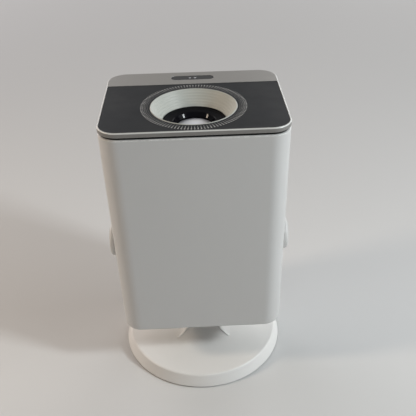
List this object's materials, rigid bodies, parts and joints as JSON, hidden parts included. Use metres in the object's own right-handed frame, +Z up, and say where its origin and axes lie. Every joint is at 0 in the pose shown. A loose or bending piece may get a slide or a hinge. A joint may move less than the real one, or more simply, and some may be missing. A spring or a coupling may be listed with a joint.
{
  "type": "home projector",
  "caption": "Upright rounded-box home projector with a flared lens opening, tilting in a U-shaped yoke on a round weighted base.",
  "frame": {"origin": "centre of the base's underside, on the surface it stands on", "axes": "+Z up, along the lens axis with the lens face up; +X along the tilt axis; the plain broad face of the body looks along -Y"},
  "size_m": [0.125, 0.1206, 0.197],
  "materials": {
    "white_shell": "fine moulded satin",
    "white_base": "fine moulded satin",
    "white_yoke": "satin powder coat",
    "rear_white": "fine moulded matte",
    "front_metal": "bead-blasted satin",
    "dark_panel": "satin charcoal",
    "smoked_window": "gloss smoked",
    "funnel_cream": "semi-gloss",
    "lens_black": "gloss black",
    "inner_black": "matte black",
    "optical_glass": "coated clear",
    "picture_panel": "dark panel",
    "heatsink_metal": "extruded",
    "board_green": "solder mask",
    "socket_metal": "nickel plated",
    "hinge_steel": "zinc plated",
    "brass": "turned",
    "ballast_steel": "as rolled",
    "foot_rubber": "matte",
    "washer_nylon": "natural nylon",
    "cone_paper": "pressed fibre"
  },
  "bodies": {
    "stand": {"base_cover": "white_base", "base_plate": "inner_black", "base_weight": "ballast_steel", "base_foot_ring": "foot_rubber", "base_screws": "hinge_steel", "tripod_insert": "brass", "yoke_bracket": "white_yoke", "yoke_screws": "hinge_steel", "pivot_bush_left": "brass", "pivot_bush_right": "brass", "pivot_cap_left": "white_shell", "pivot_cap_right": "white_shell"},
    "projector": {"housing_shell": "white_shell", "front_bezel": "front_metal", "front_panel": "dark_panel", "front_gasket": "foot_rubber", "sensor_window": "smoked_window", "sensor_board": "board_green", "lens_funnel": "funnel_cream", "lens_mount": "inner_black", "focus_motor": "socket_metal", "focus_guide_rod": "hinge_steel", "engine_case": "inner_black", "condenser_lens": "optical_glass", "fresnel_lens": "optical_glass", "lcd_panel": "picture_panel", "field_lens": "optical_glass", "led_module": "board_green", "heatsink": "heatsink_metal", "fan_frame": "inner_black", "intake_grille": "rear_white", "rear_cover": "rear_white", "rear_grille": "rear_white", "cover_screws": "hinge_steel", "port_plate": "inner_black", "hdmi_port": "socket_metal", "usb_port": "socket_metal", "audio_jack": "inner_black", "dc_inlet": "inner_black", "main_board": "board_green", "button_switch": "inner_black", "infrared_window": "smoked_window", "speaker_frame": "inner_black", "speaker_cone": "cone_paper", "friction_washers": "washer_nylon", "spring_washers": "hinge_steel", "pivot_nuts": "hinge_steel", "hinge_plate_left": "hinge_steel", "hinge_plate_right": "hinge_steel", "pivot_stud_left": "hinge_steel", "pivot_stud_right": "hinge_steel"},
    "lens": {"lens_ring": "lens_black", "lens_barrel": "inner_black", "front_lens": "optical_glass", "middle_lens": "optical_glass", "rear_lens": "optical_glass", "focus_bracket": "inner_black"},
    "lead_screw": {"focus_lead_screw": "hinge_steel"},
    "fan_wheel": {"fan_impeller": "inner_black"},
    "power_key": {"power_button": "rear_white"}
  },
  "joints": [
    {"name": "tilt", "type": "hinge", "parent": "stand", "child": "projector", "pos_m": [0, 0, 0.0935], "axis": [1, 0, 0], "range_deg": [-90, 90]},
    {"name": "focus", "type": "slide", "parent": "projector", "child": "lens", "axis": [0, 0, 1], "range_m": [-0.0025, 0.0025]},
    {"name": "lead_screw_turn", "type": "hinge", "parent": "projector", "child": "lead_screw", "pos_m": [0.03, -0.0101, 0.15], "axis": [0, 0, 1], "range_deg": [-905, 905]},
    {"name": "fan_spin", "type": "hinge", "parent": "projector", "child": "fan_wheel", "pos_m": [0, -0.0101, 0.055], "axis": [0, 0, 1], "continuous": true},
    {"name": "power_press", "type": "slide", "parent": "projector", "child": "power_key", "axis": [0, 0, 1], "range_m": [0, 0.0008], "stiffness_N_per_m": 600}
  ],
  "couplings": [
    {"joint": "lead_screw_turn", "follows": "focus", "rad_per_m": 6283.2}
  ]
}
